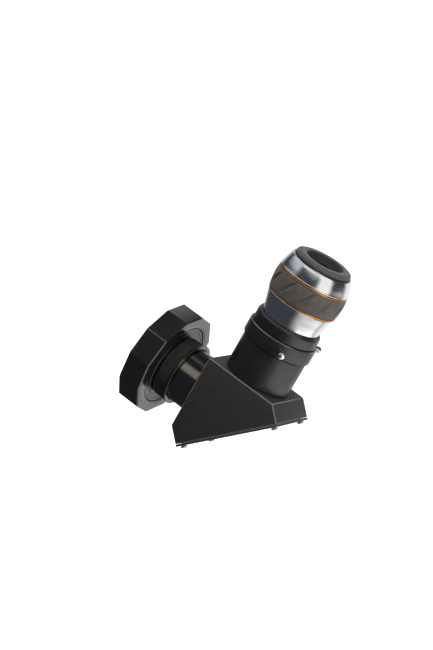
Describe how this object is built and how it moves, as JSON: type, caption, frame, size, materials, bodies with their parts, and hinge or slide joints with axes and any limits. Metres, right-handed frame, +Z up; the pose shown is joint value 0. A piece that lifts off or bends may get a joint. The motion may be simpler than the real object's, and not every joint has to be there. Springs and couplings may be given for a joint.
{
  "type": "star diagonal with eyepiece",
  "caption": "Right-angle mirror star diagonal with a wide-field eyepiece, thumbscrew holder and a rear-port adapter, for looking through a telescope from the side.",
  "frame": {"origin": "centre of the port lock ring's back face, on the axis of the telescope's rear port", "axes": "+Y into the telescope along the port axis; +Z up the eyepiece towards the eye; +X across the housing"},
  "size_m": [0.0968, 0.1394, 0.1996],
  "materials": {
    "gloss_black_metal": "gloss black anodised",
    "satin_black_metal": "satin black anodised",
    "knurled_black_metal": "black anodised, knurled",
    "crinkle_black_paint": "black crinkle paint on an aluminium block",
    "polished_silver": "polished and clear coated",
    "orange_anodised": "orange anodised",
    "rubber_grip": "matte moulded rubber",
    "rubber_eyecup": "matte soft rubber",
    "rubber_pad": "closed-cell foam",
    "chrome": "polished chrome",
    "screw_steel": "plated steel",
    "brass": "bare brass",
    "nylon": "natural nylon",
    "matte_black_metal": "flat black anodised, inside",
    "coated_glass": "anti-reflection coated lens",
    "mirror_coating": "front-silvered glass"
  },
  "bodies": {
    "rear_port_adapter": {"port_adapter": "satin_black_metal"},
    "lock_ring": {"port_lock_ring": "gloss_black_metal"},
    "coupling": {"coupling_ring": "knurled_black_metal"},
    "diagonal": {"nose_barrel": "gloss_black_metal", "nose_lock_ring": "polished_silver", "diagonal_housing": "crinkle_black_paint", "mirror_cover": "crinkle_black_paint", "cover_screw_1": "screw_steel", "cover_screw_2": "screw_steel", "cover_screw_3": "screw_steel", "cover_screw_4": "screw_steel", "diagonal_mirror": "mirror_coating", "mirror_carrier": "matte_black_metal", "mirror_pad_upper": "rubber_pad", "mirror_pad_lower": "rubber_pad", "holder_tube": "satin_black_metal", "clamp_body": "satin_black_metal", "holder_top_ring": "satin_black_metal", "compression_ring": "brass"},
    "thumbscrew_1": {"thumbscrew_1": "chrome", "thumbscrew_tip_1": "nylon"},
    "thumbscrew_2": {"thumbscrew_2": "chrome", "thumbscrew_tip_2": "nylon"},
    "eyepiece": {"eyepiece_barrel": "polished_silver", "eyepiece_body": "polished_silver", "accent_ring_lower": "orange_anodised", "grip_sleeve": "rubber_grip", "accent_ring_upper": "orange_anodised", "optics_tube": "matte_black_metal", "field_stop_ring": "matte_black_metal", "field_lens": "coated_glass", "lens_spacer_lower": "matte_black_metal", "middle_lens": "coated_glass", "lens_spacer_upper": "matte_black_metal", "eye_lens": "coated_glass"},
    "twist_collar": {"twist_collar": "polished_silver"},
    "eyecup": {"eyecup_carrier": "matte_black_metal", "eyecup": "rubber_eyecup"}
  },
  "joints": [
    {"name": "lock_ring_spin", "type": "hinge", "parent": "rear_port_adapter", "child": "lock_ring", "pos_m": [0, 0, 0], "axis": [0, 1, 0], "continuous": true},
    {"name": "coupling_ring_spin", "type": "hinge", "parent": "rear_port_adapter", "child": "coupling", "pos_m": [0, 0, 0], "axis": [0, 1, 0], "continuous": true},
    {"name": "diagonal_turn", "type": "hinge", "parent": "rear_port_adapter", "child": "diagonal", "pos_m": [0, 0, 0], "axis": [0, 1, 0], "continuous": true},
    {"name": "thumbscrew_1_turn", "type": "hinge", "parent": "diagonal", "child": "thumbscrew_1", "pos_m": [0, -0.0929, 0.0746], "axis": [-0.866, -0.5, 0], "range_deg": [0, 720]},
    {"name": "thumbscrew_2_turn", "type": "hinge", "parent": "diagonal", "child": "thumbscrew_2", "pos_m": [0, -0.0929, 0.0746], "axis": [0.866, -0.5, 0], "range_deg": [0, 720]},
    {"name": "eyepiece_slide", "type": "slide", "parent": "diagonal", "child": "eyepiece", "axis": [0, 0, 1], "range_m": [0, 0.038]},
    {"name": "eyecup_twist", "type": "hinge", "parent": "eyepiece", "child": "twist_collar", "pos_m": [0, -0.0929, 0.134], "axis": [0, 0, 1], "range_deg": [0, 210]},
    {"name": "eyecup_rise", "type": "slide", "parent": "eyepiece", "child": "eyecup", "axis": [0, 0, 1], "range_m": [0, 0.00701]}
  ],
  "couplings": [
    {"joint": "eyecup_rise", "follows": "eyecup_twist", "m_per_rad": 0.0019099}
  ]
}
